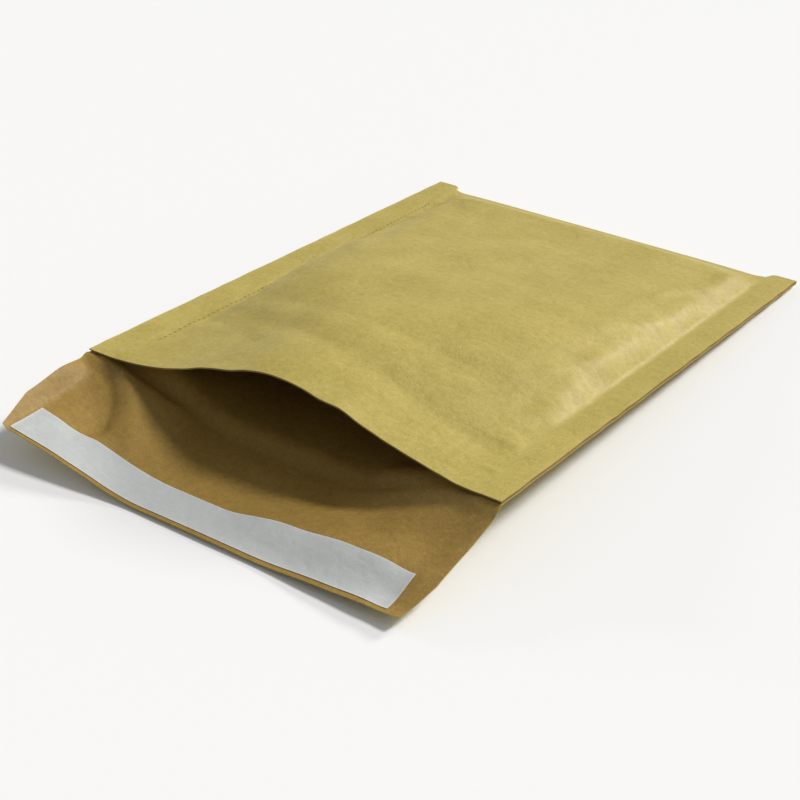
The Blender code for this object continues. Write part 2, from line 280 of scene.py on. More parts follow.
def crease(x, y, start, end, width, height, bend, lean):
    """A ridge, or a valley with a negative height, along a bowed line: a bell that fades at both ends.

    Seen from its start, a positive lean makes its right slope wider and its left slope steeper."""
    run = np.subtract(end, start)
    length = np.hypot(*run)
    ahead = ((x - start[0]) * run[0] + (y - start[1]) * run[1]) / length**2
    aside = ((x - start[0]) * run[1] - (y - start[1]) * run[0]) / length
    aside = aside - bend * 4 * ahead * (1 - ahead)
    fade = soft_step(ahead * END_FADE + END_LEFT) * soft_step((1 - ahead) * END_FADE + END_LEFT)
    tip = width / TIP_OF_WIDTH
    sharp = np.sqrt(aside**2 + tip**2) - tip
    slope = width * (1 + lean * np.tanh(LEAN_TURN * aside / width))
    return height * np.exp(-((sharp / slope) ** CREASE_POWER)) * fade


def creases_and_waves(x, y, creases, swells):
    """A panel's creases and waves added up."""
    relief = 0 * x
    for start, end, width, height, bend, lean in creases:
        start, end = np.multiply(start, MM), np.multiply(end, MM)
        relief = relief + crease(x, y, start, end, width * MM, height * MM, bend * MM, lean)
    for seed, longest, count, height in swells:
        relief = relief + height * MM * waves(x, y, seed, longest * MM, count)
    return relief


print(f"each wave is {1 / WAVE_SHORTER:.2f} times as long as the one before it")

# %% Steep shoulders and puckers
SHOULDER = 0.9 * MM
SHOULDER_AT = 6
SHOULDER_FALL = 8
SHOULDER_FROM_MOUTH = 25
SHOULDER_GROWS = 60
SHOULDER_UNEVEN = 0.35
SHOULDER_WAVE = 30 * MM
SHOULDER_SEED = 41
MARGIN = 2.5 * MM
MARGIN_RISE = 11 * MM
MARGIN_FROM_MOUTH = 12
MARGIN_GROWS = 30
PUCKERS_START = 3
PUCKERS_REACH = 9
PUCKER_WAVE = 24 * MM
FINE_PUCKER = 0.5
FINE_PUCKER_WAVE = 9 * MM
PUCKER_SEED = 31
STRETCHED = 0.3
FAR_STRETCHED = 0.2


def inside_band(x, y):
    """Distance in from the side band, in millimetres."""
    return (panel_half(y) - np.abs(x)) / MM


def shoulders(x, y):
    """The cushion stands up steeply just inside the bands, and the left margin is pressed flat."""
    inside = inside_band(x, y)
    from_mouth = soft_step((y / MM - SHOULDER_FROM_MOUTH) / SHOULDER_GROWS)
    uneven = 1 + SHOULDER_UNEVEN * waves(FAR_STRETCHED * x, y, SHOULDER_SEED, SHOULDER_WAVE, 5)
    rise = np.clip(inside / SHOULDER_AT, 0, 1) * (1 - soft_step((inside - SHOULDER_AT) / SHOULDER_FALL))
    bulge = front_height(x, y) - seam_lift(x, y) - BAND_THICKNESS
    margin = 1 - soft_step((x + panel_half(y) - MARGIN) / MARGIN_RISE)
    pressed = soft_step((y / MM - MARGIN_FROM_MOUTH) / MARGIN_GROWS) * margin
    return SHOULDER * rise * uneven * from_mouth * (1 - pressed) - np.where(x < 0, bulge * pressed, 0)


def puckers(x, y):
    """Short ridges square to the seam, which run from the side band some way into the panel."""
    inside = inside_band(x, y)
    reach = soft_step(inside / PUCKERS_START) * np.exp(-(((inside - PUCKERS_START) / PUCKERS_REACH) ** 2))
    broad = waves(STRETCHED * x, y, PUCKER_SEED, PUCKER_WAVE, 6)
    fine = waves(FAR_STRETCHED * x, y, PUCKER_SEED + 1, FINE_PUCKER_WAVE, 4)
    return reach * (broad + FINE_PUCKER * fine)


print(f"shoulder {1000 * SHOULDER:.1f} mm high, {SHOULDER_AT} mm inside the band")

# %% Slack of the front panel
FRONT_CREASES = [
    # start, end, width, height and bend in millimetres, and lean
    ((-62, 50), (74, 24), 6, -1.1, 7, 0),
    ((-58, 62), (40, 52), 5, -0.5, 5, 0.3),
    ((-74, 46), (-20, 18), 5, -0.6, -3, 0),
    ((20, 44), (66, 60), 7, -0.5, 2, 0),
    ((-40, 12), (-22, 70), 5, -0.4, -3, 0.3),
    ((-72, 208), (-50, 120), 4, -0.7, 2, 0),
    ((-68, 208), (-40, 150), 5, -0.5, -2, 0),
    ((74, 196), (56, 150), 3, 0.5, 2, 0),
    ((75, 178), (60, 158), 2.5, -0.5, 1, 0),
    ((74, 158), (54, 104), 3.5, 0.6, -2, 0),
    ((75, 134), (62, 118), 2.5, -0.5, 0, 0),
    ((75, 104), (58, 70), 3, 0.5, 2, 0),
    ((75, 76), (60, 50), 3, -0.4, -1, 0),
]
FRONT_WAVES = [
    # seed, longest wave in millimetres, number of waves and height in millimetres
    (3, 55, 7, 0.14),
    (17, 15, 4, 0.035),
]
LIP_DENTS = [
    # place across, width and height in millimetres
    (-79, 5, -1.2),
    (-33, 7, 0.8),
    (-22, 5, -0.5),
    (15, 5, -0.7),
    (24, 5, 0.8),
    (72, 9, -0.7),
]
LIP_REACH = 9 * MM
LIP_WAVE = 0.12 * MM
LIP_WAVE_LENGTH = 20 * MM
LIP_SEED = 11
BAND_FADE = 6
PUCKER = 0.3
PUCKER_GAIN = 0.15
SLACK_END = 16 * MM


def off_the_band(x, y):
    """1 in the middle of a panel, and falling to 0 over the sixth of it that is next to the side band."""
    return soft_step((1 - np.abs(x) / panel_half(y)) * BAND_FADE)


def front_slack(x, y):
    """Creases, slack that dies out on the bands and at the fold, and the wavy lip of the mouth."""
    relief = creases_and_waves(x, y, FRONT_CREASES, FRONT_WAVES)
    lip = np.exp(-np.clip(y, 0, None) / LIP_REACH)
    relief = relief + LIP_WAVE * lip * waves(x, STRETCHED * y, LIP_SEED, LIP_WAVE_LENGTH, 4)
    for place, width, height in LIP_DENTS:
        relief = relief + height * MM * lip * np.exp(-(((x / MM - place) / width) ** 2))
    puckered = (PUCKER + PUCKER_GAIN * soft_step(x / HALF)) * MM * puckers(x, y)
    relief = relief * off_the_band(x, y) + puckered + shoulders(x, y)
    return relief * soft_step((BODY - FOLD_SET_BACK - y) / SLACK_END)


probe_x, probe_y = np.meshgrid(np.linspace(-HALF, HALF, 90), np.linspace(0, BODY, 120))
probe = front_slack(probe_x, probe_y) / MM
print(f"front slack from {probe.min():.2f} to {probe.max():.2f} mm")

# %% Slack of the back panel
BACK_CREASES = [
    # start, end, width, height and bend in millimetres, and lean
    ((-87, 6), (-57, -27), 6.5, -3.2, -4, 0.5),
    ((-84, 7), (-44, -24), 3.5, 0.9, -4, 0),
    ((-84, 3), (-44, 5), 3, -1.8, 1, -0.4),
    ((-80, 8), (-46, 14), 5, 1.0, 0, 0),
    ((86, 1), (28, 11), 3.5, 1.5, -2, 0.5),
    ((84, 5), (36, 22), 4, -1.2, -2, 0),
    ((84, -3), (46, -14), 5, 0.5, 0, 0),
    ((80, 3), (70, -42), 8, -2.2, 0, 0.3),
    ((34, -8), (52, -30), 6, 0.4, 2, 0),
]
BACK_WAVES = [
    # seed, longest wave in millimetres, number of waves and height in millimetres
    (5, 50, 7, 0.15),
    (19, 14, 4, 0.04),
]
FREE_FROM = 4 * MM
MOUTH_BLEND = 5 * MM


def back_slack(x, y):
    """The same for the back panel and the flap, but nothing where the paper lies on the table."""
    relief = creases_and_waves(x, y, BACK_CREASES, BACK_WAVES)
    clear = soft_step(back_height(x, y) / FREE_FROM)
    return relief * clear * (1 + (off_the_band(x, y) - 1) * soft_step(1 + y / MOUTH_BLEND))


def front_skin(x, y):
    """The front panel with its slack."""
    return front_height(x, y) + front_slack(x, y)


def back_skin(x, y):
    """The back panel with its slack."""
    return back_height(x, y) + back_slack(x, y)


probe = back_slack(probe_x, probe_y - FLAP) / MM
print(f"back slack from {probe.min():.2f} to {probe.max():.2f} mm")

# %% [markdown]
# ## One sheet, folded once
# Both plies and the cushion are the same folded surface at their own depth inside the outer skin. Folding a
# flat mesh with bones or a modifier would need its hinges tuned. Instead a point is found from a column
# across the bag and a row along it: flap, back panel, half a turn round the fold, front panel. Lengths
# added up along the rows and the columns give each point its place on the flat sheet, which the paper's
# grain and print follow.

# %% Columns and rows
ON_FLAP, ON_BACK, ON_FOLD, ON_FRONT = range(4)


def columns_of(panel, band):
    """Columns from -2 to 2 with a share of them in the panel and in each band."""
    inner = np.linspace(-1, 1, panel)
    outer = np.linspace(1, 2, band + 1)[1:]
    return np.concatenate([-outer[::-1], inner, outer])


def legs(flap_rows, back_rows, fold_rows, front_rows):
    """The rows of a sheet: the leg that each is on, and its share of that leg."""
    counts = (flap_rows, back_rows, fold_rows, front_rows)
    leg = np.repeat([ON_FLAP, ON_BACK, ON_FOLD, ON_FRONT], counts)
    parts = [
        np.linspace(1, 0, flap_rows, endpoint=False),
        np.linspace(0, 1, back_rows, endpoint=False),
        np.linspace(0, 1, fold_rows, endpoint=False),
        np.linspace(0, 1, front_rows),
    ]
    return leg[:, None], np.concatenate(parts)[:, None]


test_columns, test_rows = columns_of(21, 2), legs(4, 8, 4, 8)
print(f"a coarse test sheet has {len(test_columns)} columns and {len(test_rows[0])} rows")

# %% The folded surface
EAR_FROM = 0.9
EAR_CHANGE = 0.3
CUSHION_FROM_MOUTH = 9 * MM
CUSHION_RAMP = 8 * MM
CUSHION_RAMP_START = 0.8
MOUTH_SET_BACK = 2.5 * MM


def fold_at(column):
    """Where a column's straight legs end: back from the fold's edge by half the distance of the skins."""
    ear = soft_step((np.abs(column) - EAR_FROM) / EAR_CHANGE)
    end = BODY - FOLD_SET_BACK * (1 - ear)
    x = across(column, end)
    straight = end - (front_skin(x, end) - back_skin(x, end)) / 2
    x = across(column, straight)
    return straight, back_skin(x, straight), front_skin(x, straight)


def cushion_share(x, y):
    """Share of the cushion's room at a point: none at the mouth or where the skins meet, all inside."""
    room = (front_skin(x, y) - back_skin(x, y) - BAND_THICKNESS) / (2 * CUSHION_ROOM)
    return np.clip(room, 0, 1) * soft_step((y - CUSHION_FROM_MOUTH) / CUSHION_RAMP + CUSHION_RAMP_START)


def folded(columns, leg, share, depth, cushion):
    """Points of a sheet, row by row: on a leg the skin plus or less the depth, at the fold a half circle."""
    column = columns[None, :]
    straight, low, high = fold_at(column)
    lip = MOUTH_SET_BACK * crown(across(column, 0 * column), 0 * column)
    flap_y, back_y = -FLAP * share + 0 * column, straight * share
    end_y, front_y = straight + 0 * share, straight + (lip - straight) * share
    y = np.select([leg == ON_FLAP, leg == ON_BACK, leg == ON_FOLD], [flap_y, back_y, end_y], front_y)
    x = across(column, y)
    inset = depth + cushion * CUSHION_ROOM * np.where(leg == ON_FLAP, 0, cushion_share(x, y))
    turn = share * math.pi
    radius = (high - low) / 2 - inset
    fold_z = (high + low) / 2 - radius * np.cos(turn)
    fold_y = straight + radius * np.sin(turn)
    back_z, front_z = back_skin(x, y) + inset, front_skin(x, y) - inset
    z = np.select([leg < ON_FOLD, leg == ON_FOLD], [back_z, fold_z], front_z)
    return np.stack([x, np.where(leg == ON_FOLD, fold_y, y) + MOUTH_Y, z], -1)


test_sheet = folded(test_columns, *test_rows, 0, 0)
test_low, test_high = test_sheet.min((0, 1)), test_sheet.max((0, 1))
print("outer skin sampled from", np.round(test_low, 4), "to", np.round(test_high, 4))

# %% Places on the flat sheet
def flat_places(points):
    """Each point's place on the flat sheet: lengths added up from the middle column and the first row."""
    steps_x = np.linalg.norm(np.diff(points, axis=1), axis=2)
    steps_y = np.linalg.norm(np.diff(points, axis=0), axis=2)
    u = np.concatenate([np.zeros((len(points), 1)), np.cumsum(steps_x, 1)], 1)
    v = np.concatenate([np.zeros((1, points.shape[1])), np.cumsum(steps_y, 0)], 0)
    centre = points.shape[1] // 2
    return np.stack([u - u[:, centre : centre + 1], v], -1)


test_flat = flat_places(test_sheet)
print(f"the sheet is {1000 * test_flat[-1, len(test_columns) // 2, 1]:.0f} mm long down its middle")

# %% [markdown]
# ## From points to a sheet of paper
# A grid of points becomes a mesh whose faces join each point to its neighbours. The sheet's thickness is
# then left to Solidify, which grows it towards the inside of the bag. Measures ride along in the mesh: a UV
# map with the flat places, how worn each point is and how far it is from the left edge. The border's edges
# are marked sharp, so that the cut edge of the paper stays crisp.

# %% Grid to mesh
FLAT_MAP = "flat"


def border_edges(mesh, quads):
    """True for each edge of a mesh that only one of its faces has."""
    size = len(mesh.vertices)
    ends = np.empty(len(mesh.edges) * 2, int)
    mesh.edges.foreach_get("vertices", ends)
    ends = np.sort(ends.reshape(-1, 2), 1)
    sides = np.sort(np.stack([quads, np.roll(quads, -1, 1)], -1).reshape(-1, 2), 1)
    key, uses = np.unique(sides[:, 0] * size + sides[:, 1], return_counts=True)
    return np.isin(ends[:, 0] * size + ends[:, 1], key[uses == 1])


def grid_mesh(name, points, faces_kept=None, **carried):
    """A mesh of a grid: four neighbours make a face, and places on the flat sheet make its UV map."""
    rows, count = points.shape[:2]
    index = np.arange(rows * count).reshape(rows, count)
    quads = np.stack([index[:-1, :-1], index[:-1, 1:], index[1:, 1:], index[1:, :-1]], -1)
    quads = quads.reshape(-1, 4) if faces_kept is None else quads[faces_kept]
    used, quads = np.unique(quads, return_inverse=True)
    quads = quads.reshape(-1, 4)
    mesh = bpy.data.meshes.new(name)
    mesh.from_pydata(points.reshape(-1, 3)[used], [], quads)
    mesh.polygons.foreach_set("use_smooth", np.ones(len(quads), bool))
    flat = flat_places(points).reshape(-1, 2)[used]
    mesh.uv_layers.new(name=FLAT_MAP).data.foreach_set("uv", flat[quads.ravel()].astype(np.float32).ravel())
    for what, values in carried.items():
        values = np.broadcast_to(values, points.shape[:2]).ravel()[used]
        mesh.attributes.new(what, "FLOAT", "POINT").data.foreach_set("value", values.astype(np.float32))
    mesh.update()
    sharp = mesh.attributes.new("sharp_edge", "BOOLEAN", "EDGE")
    sharp.data.foreach_set("value", border_edges(mesh, quads))
    return mesh


print(f"each mesh keeps its flat places in the UV map {FLAT_MAP}")

# %% Paper pieces
def paper_piece(name, mesh, thickness, finish, edge_finish, node):
    """An object of a mesh, thickened towards the inside, that rides on the bag and stands for its solid."""
    piece = bpy.data.objects.new(name, mesh)
    bpy.context.scene.collection.objects.link(piece)
    mesh.materials.append(finish)
    mesh.materials.append(edge_finish)
    ply = piece.modifiers.new("thickness", "SOLIDIFY")
    ply.thickness = thickness
    ply.offset = 1
    ply.material_offset_rim = 1
    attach(piece, "root")
    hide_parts(node)
    print(f"{name}: {len(mesh.polygons)} faces on one side")
    return piece


print("helper made: paper_piece")

# %% [markdown]
# ## What paper looks like
# Kraft paper is brown pulp pressed flat. Close up it shows clouds and blotches where the pulp lies thick, a
# mesh of fine fibres, a grain, and a few dark specks of bark. A picture could carry them, but noise made
# from nodes has no seams and no lettering, and works at any size. The fibres are noise stretched in two
# directions. All of it follows the flat sheet's own places, in millimetres, so it bends with the paper.

# %% Node helpers
def add(tree, kind, inputs=None, **settings):
    """Adds a node. A socket among the inputs is linked, and anything else becomes that input's value."""
    made = tree.nodes.new(kind)
    for name, value in settings.items():
        setattr(made, name, value)
    for name, value in (inputs or {}).items():
        if isinstance(value, bpy.types.NodeSocket):
            tree.links.new(value, made.inputs[name])
        else:
            made.inputs[name].default_value = value
    return made


def maths(tree, operation, first, second=0.0):
    """One sum on two numbers or sockets."""
    return add(tree, "ShaderNodeMath", {0: first, 1: second}, operation=operation).outputs[0]


def add_up(tree, *parts):
    """A sum of numbers or sockets, each with its own factor."""
    total = 0.0
    for socket, factor in parts:
        inputs = {0: socket, 1: factor, 2: total}
        total = add(tree, "ShaderNodeMath", inputs, operation="MULTIPLY_ADD").outputs[0]
    return total


def mix(tree, share, first, second):
    """A mix of two colours. The node's sockets for colours are its inputs 6 and 7 and its output 2."""
    return add(tree, "ShaderNodeMix", {0: share, 6: first, 7: second}, data_type="RGBA").outputs[2]


def new_finish(name):
    """A material with its node tree and its shader."""
    made = bpy.data.materials.new(name)
    made.use_nodes = True
    return made, made.node_tree, made.node_tree.nodes["Principled BSDF"]


print("helpers made: add, maths, add_up, mix and new_finish")

# %% Patterns of the pulp
# Each noise has its patches for each millimetre, its detail and its roughness.
CLOUDS = (0.05, 4.0, 0.6)
BLOTCHES = (0.42, 5.0, 0.65)
GRAIN = (1.15, 3.0, 0.7)
FIBRES = (1.0, 3.0, 0.6)
CLOUD_SPAN = (0.3, 0.7)
GRAIN_SPAN = (0.32, 0.68)
FIBRE_SPAN = (0.45, 0.75)
FIBRE_RUNS = [
    # stretch of the pattern and its turn in degrees
    ((0.3, 2.4, 1), 24),
    ((2.4, 0.35, 1), -17),
]


def millimetres(tree, scale=(1, 1, 1), turn=0.0):
    """The place on the flat sheet in millimetres, stretched and turned for a pattern."""
    place = add(tree, "ShaderNodeUVMap", uv_map=FLAT_MAP)
    mapped = add(tree, "ShaderNodeMapping", {"Vector": place.outputs[0]})
    mapped.inputs["Scale"].default_value = [s / MM for s in scale]
    mapped.inputs["Rotation"].default_value[2] = math.radians(turn)
    return mapped.outputs[0]


def noise(tree, place, scale, detail, rough):
    """Cloudy noise, from 0 to 1 and mostly near a half, with a scale in patches for each unit of length."""
    inputs = {"Vector": place, "Scale": scale, "Detail": detail, "Roughness": rough}
    return add(tree, "ShaderNodeTexNoise", inputs).outputs[0]


def stretch(tree, value, low, high):
    """A number's part from low to high, spread over 0 to 1."""
    inputs = {"Value": value, "From Min": low, "From Max": high}
    return add(tree, "ShaderNodeMapRange", inputs, clamp=True).outputs[0]


def pulp(tree):
    """Four patterns from 0 to 1: three plain noises, and fibres, the higher of two that are stretched."""
    clouds = stretch(tree, noise(tree, millimetres(tree), *CLOUDS), *CLOUD_SPAN)
    blotches = stretch(tree, noise(tree, millimetres(tree), *BLOTCHES), *CLOUD_SPAN)
    runs = [noise(tree, millimetres(tree, *run), *FIBRES) for run in FIBRE_RUNS]
    fibres = stretch(tree, maths(tree, "MAXIMUM", *runs), *FIBRE_SPAN)
    grain = stretch(tree, noise(tree, millimetres(tree), *GRAIN), *GRAIN_SPAN)
    return clouds, blotches, fibres, grain


sizes = [f"{1 / pattern[0]:.1f} mm" for pattern in (CLOUDS, BLOTCHES, GRAIN)]
print("clouds, blotches and grain are about", ", ".join(sizes), "wide")

# %% [markdown]
# ## The dashed rule
# A faint row of short dashes runs along the left margin of the front. A picture could hold it, or strips of
# mesh, but ink has no thickness, and strokes as plain as these need no picture. So it is colour in the outer
# ply's finish, found from two measures: how far a point is from the left edge, and how far along the sheet.

# %% Dashed rule
RULE_FROM_EDGE = 14 * MM
RULE_WIDTH = 0.9 * MM
RULE_STEP = 2.6
STROKE_ENDS = (0.6, 0.4)
DASH_ENDS = (0.32, 0.27)
INK = (0.16, 0.13, 0.04, 1)
INK_EVEN = 0.35
INK_PATCHY = 0.5


def dashed_rule(tree, patches):
    """Share of ink: a stroke at its distance from the edge, times a dash in each step, times the patches."""
    margin = add(tree, "ShaderNodeAttribute", attribute_name="from_left").outputs["Fac"]
    aside = maths(tree, "ABSOLUTE", maths(tree, "SUBTRACT", margin, RULE_FROM_EDGE))
    stroke = stretch(tree, aside, *(RULE_WIDTH * end for end in STROKE_ENDS))
    place = add(tree, "ShaderNodeSeparateXYZ", {"Vector": millimetres(tree)}).outputs["Y"]
    step = maths(tree, "FRACT", maths(tree, "DIVIDE", place, RULE_STEP))
    dash = stretch(tree, maths(tree, "ABSOLUTE", maths(tree, "SUBTRACT", step, 0.5)), *DASH_ENDS)
    ink = maths(tree, "MULTIPLY", stroke, dash)
    return maths(tree, "MULTIPLY", ink, add_up(tree, (patches, INK_PATCHY), (1.0, INK_EVEN)))


print(f"a dash each {RULE_STEP} mm, {1000 * RULE_FROM_EDGE:.0f} mm from the left edge")

# %% [markdown]
# ## The paper's finish
# The bag's papers differ in colour, roughness and gloss, but all are pressed pulp. One material for each
# could be drawn by hand in the node editor. One function with a few settings keeps them alike, and a change
# of the pulp changes them all.

# %% Colour of paper
TONE_SHARES = (0.25, 0.3, 0.15, 0.3)
BARK_SCALE = 0.25
BARK_ENDS = (0.11, 0.03)
BARK_SHADE = 0.45
RUBBED_GAIN = 1.15
RUBBED_MORE = 0.04
RUBBED_FIBRES = 0.6
RUBBED_CLOUDS = 0.4


def paper_colour(tree, patterns, pale, deep, speck, wear, printed):
    """From deep to pale with the sum of the patterns, then bark specks, the rule and rubbed places."""
    clouds, blotches, fibres, _ = patterns
    colour = mix(tree, add_up(tree, *zip(patterns, TONE_SHARES)), (*deep, 1), (*pale, 1))
    bark = add(tree, "ShaderNodeTexVoronoi", {"Vector": millimetres(tree), "Scale": BARK_SCALE})
    near = stretch(tree, bark.outputs["Distance"], *BARK_ENDS)
    dark = [BARK_SHADE * c for c in deep]
    colour = mix(tree, maths(tree, "MULTIPLY", near, speck), colour, (*dark, 1))
    if printed:
        colour = mix(tree, dashed_rule(tree, blotches), colour, INK)
    rubbed = [min(1.0, RUBBED_GAIN * c + RUBBED_MORE) for c in pale]
    worn = add(tree, "ShaderNodeAttribute", attribute_name="wear").outputs["Fac"]
    patches = add_up(tree, (fibres, RUBBED_FIBRES), (clouds, RUBBED_CLOUDS))
    patchy = maths(tree, "MULTIPLY", worn, patches)
    return mix(tree, maths(tree, "MULTIPLY", patchy, wear), colour, (*rubbed, 1))


print(f"rubbed paper is {RUBBED_GAIN} times as bright as clean paper, plus {RUBBED_MORE}")

# %% Surface of paper
FOLD_NOISE = (0.075, 2.5, 0.5)
FOLD_REACH = 0.09
BUMP_STRENGTH = 0.9
RELIEF_SHARES = (0.8, 0.4, 0.7)
ROUGH_BLOTCHES = 0.1
ROUGH_CLOUDS = 0.16
PAPER_SPECULAR = 0.35
GLAZE_CLOUDS = 1.0
GLAZE_BLOTCHES = 0.6
GLAZE_EVEN = 0.2
GLAZE_ROUGHNESS = 0.42
GLAZE_IOR = 1.4


def paper_relief(tree, patterns, relief, folds):
    """Bump of the pulp on that of faint folds, which run where a broad noise crosses its middle."""
    broad = noise(tree, millimetres(tree), *FOLD_NOISE)
    valley = stretch(tree, maths(tree, "ABSOLUTE", maths(tree, "SUBTRACT", broad, 0.5)), 0.0, FOLD_REACH)
    bent = add(tree, "ShaderNodeBump", {"Height": valley, "Distance": folds * MM, "Strength": BUMP_STRENGTH})
    height = add_up(tree, *zip(patterns[1:], RELIEF_SHARES))
    inputs = {"Height": height, "Distance": relief * MM, "Strength": BUMP_STRENGTH}
    inputs["Normal"] = bent.outputs[0]
    return add(tree, "ShaderNodeBump", inputs).outputs[0]


def paper(name, pale, deep, rough, relief=0.04, speck=0.35, wear=0.35, glaze=0.0, printed=False, folds=0.08):
    """Paper from its pulp: its colour, its relief in millimetres, and a patchy glaze where it has one."""
    made, tree, shader = new_finish(name)
    patterns = pulp(tree)
    clouds, blotches = patterns[:2]
    colour = paper_colour(tree, patterns, pale, deep, speck, wear, printed)
    tree.links.new(colour, shader.inputs["Base Color"])
    least = rough - (ROUGH_BLOTCHES + ROUGH_CLOUDS) / 2
    roughness = add_up(tree, (blotches, ROUGH_BLOTCHES), (clouds, ROUGH_CLOUDS), (1.0, least))
    tree.links.new(roughness, shader.inputs["Roughness"])
    shader.inputs["Specular IOR Level"].default_value = PAPER_SPECULAR
    tree.links.new(paper_relief(tree, patterns, relief, folds), shader.inputs["Normal"])
    if glaze:
        shares = [glaze * part for part in (GLAZE_CLOUDS, GLAZE_BLOTCHES, GLAZE_EVEN)]
        gloss = add_up(tree, *zip((clouds, blotches, 1.0), shares))
        tree.links.new(gloss, shader.inputs["Coat Weight"])
        shader.inputs["Coat Roughness"].default_value = GLAZE_ROUGHNESS
        shader.inputs["Coat IOR"].default_value = GLAZE_IOR
    return made


print(f"a glaze has an index of {GLAZE_IOR}")

# %% The five papers
OUTER_PALE = (0.59, 0.475, 0.13)
OUTER_DEEP = (0.31, 0.24, 0.04)
INNER_PALE = (0.45, 0.28, 0.06)
INNER_DEEP = (0.2, 0.12, 0.02)
SLIT_PALE = (0.62, 0.46, 0.26)
SLIT_DEEP = (0.48, 0.33, 0.16)
SILICONE_PALE = (0.59, 0.61, 0.6)
SILICONE_DEEP = (0.46, 0.475, 0.465)
CUT_PALE = (0.46, 0.36, 0.12)
CUT_DEEP = (0.3, 0.23, 0.07)

outer_kraft = paper("gold_kraft", OUTER_PALE, OUTER_DEEP, 0.66, relief=0.06, glaze=0.3, printed=True)
inner_kraft = paper("brown_kraft", INNER_PALE, INNER_DEEP, 0.72, relief=0.07, glaze=0.25, folds=0.1)
slit_paper = paper("slit_kraft", SLIT_PALE, SLIT_DEEP, 0.85, relief=0.06)
release_paper = paper("silicone_paper", SILICONE_PALE, SILICONE_DEEP, 0.5, 0.02, speck=0.0, glaze=0.2)
cut_kraft = paper("cut_edge", CUT_PALE, CUT_DEEP, 0.9)
print("finishes:", ", ".join(m.name for m in bpy.data.materials))

# %% [markdown]
# ## The two plies
# The outer ply is gold-brown kraft with a soft machine glaze, the inner one plainer and browner. They are
# the same folded surface twice. The outer one needs the finest grid on the front panel, where the light
# grazes the creases, and the inner one on the flap and behind the mouth, where it is seen.

# %% Wear and the left margin
EDGE_WEAR = 0.8
EDGE_WEAR_REACH = 1.2 * MM
SEAM_WEAR = 0.35
SEAM_WEAR_REACH = 1.5 * MM
FOLD_WEAR = 0.7
RULE_ENDS = (18 * MM, 196 * MM)
NOT_SHOWN = 1.0


def wear_of(points, leg):
    """Wear along the cut edges, the fold and the seams' borders, as bells of the distance from them."""
    x, y = np.abs(points[..., 0]), points[..., 1] - MOUTH_Y
    edge = np.exp(-((half_width(y) - x) / EDGE_WEAR_REACH))
    seam = np.exp(-(((x - panel_half(y)) / SEAM_WEAR_REACH) ** 2))
    fold = np.where(leg == ON_FOLD, 1, 0) + 0 * x
    return np.clip(EDGE_WEAR * edge + SEAM_WEAR * seam + FOLD_WEAR * fold, 0, 1)


def left_margin(points, leg):
    """Distance from the left edge along the paper between the rule's ends, and a metre elsewhere."""
    steps = np.linalg.norm(np.diff(points, axis=1), axis=2)
    margin = np.concatenate([np.zeros((len(points), 1)), np.cumsum(steps, 1)], 1)
    y = points[..., 1] - MOUTH_Y
    shown = (leg == ON_FRONT) & (y > RULE_ENDS[0]) & (y < RULE_ENDS[1])
    return np.where(shown, margin, NOT_SHOWN)


print(f"the rule is {1000 * (RULE_ENDS[1] - RULE_ENDS[0]):.0f} mm long")

# %% Outer and inner ply
PLIES_PART = 12 * MM
FLAP_CLEARANCE = 0.02 * MM
PLY_COLUMNS = columns_of(131, 8)
OUTER_ROWS = (36, 72, 10, 168)
INNER_ROWS = (36, 110, 8, 90)


def ply(name, rows, depth, cushion, thickness, finish, slot, node):
    """One ply as a folded surface, glued down on the flap and free of its neighbour behind the mouth."""
    leg, share = legs(*rows)
    glued = np.select([leg == ON_FLAP, leg == ON_BACK], [1, 1 - soft_step(share * BODY / PLIES_PART)], 0)
    depth = depth - np.where(depth > 0, glued * (CLEARANCE - FLAP_CLEARANCE), 0)
    points = folded(PLY_COLUMNS, leg, share, depth, cushion)
    mesh = grid_mesh(name, points, wear=wear_of(points, leg), from_left=left_margin(points, leg))
    return paper_piece(name, mesh, thickness, finish, cut_kraft, node)


outer_ply = ply("outer_ply", OUTER_ROWS, 0, 0, OUTER_PLY, outer_kraft, "outer_kraft", "outer_sheet")
inner_ply = ply(
    "inner_ply", INNER_ROWS, INNER_DEPTH, 1, INNER_PLY, inner_kraft, "inner_kraft", "inner_sheet"
)

# %% [markdown]
# ## The slit-paper cushion
# Between the plies lies paper with short slits in staggered rows. Pulled open, each strip between two rows
# bows towards one ply and then the other, half a step out of line with its neighbours. A pattern in a
# material would be flat. Here each row is a wave across the bag, the next row is the same wave half a
# length on, and the faces that would join them are left out wherever the two stand apart: those gaps are
# the slits.

# %% Rows of the cushion
STRIP_ROW = 4.5 * MM
SLIT = 0.25 * MM
ROUND_FOLD = [0.02, 0.32, 0.34, 0.66, 0.68, 0.98]


def cushion_rows():
    """Two rows of points for each strip, a slit apart from the next strip's, with three round the fold."""
    length = BODY - FOLD_SET_BACK - 2 * CUSHION_FROM_MOUTH
    count = int(length / STRIP_ROW)
    starts = (CUSHION_FROM_MOUTH + np.arange(count) * STRIP_ROW) / (BODY - FOLD_SET_BACK)
    ends = starts + (STRIP_ROW - SLIT) / (BODY - FOLD_SET_BACK)
    back = np.stack([starts, ends], 1).ravel()
    share = np.concatenate([back, ROUND_FOLD, 1 - back[::-1]])
    leg = np.repeat([ON_BACK, ON_FOLD, ON_FRONT], [len(back), len(ROUND_FOLD), len(back)])
    return leg[:, None], share[:, None]


leg, share = cushion_rows()
print(f"{len(leg) // 2} strips of {1000 * (STRIP_ROW - SLIT):.2f} mm")

# %% Slit-paper cushion
CUSHION_SHEET = 0.14 * MM
CUSHION_BORDER = 0.93
STRIP_LENGTH = 9 * MM
STRIPS_ACROSS = 16
COLUMNS_A_STRIP = 5
JOINED_WITHIN = 0.35

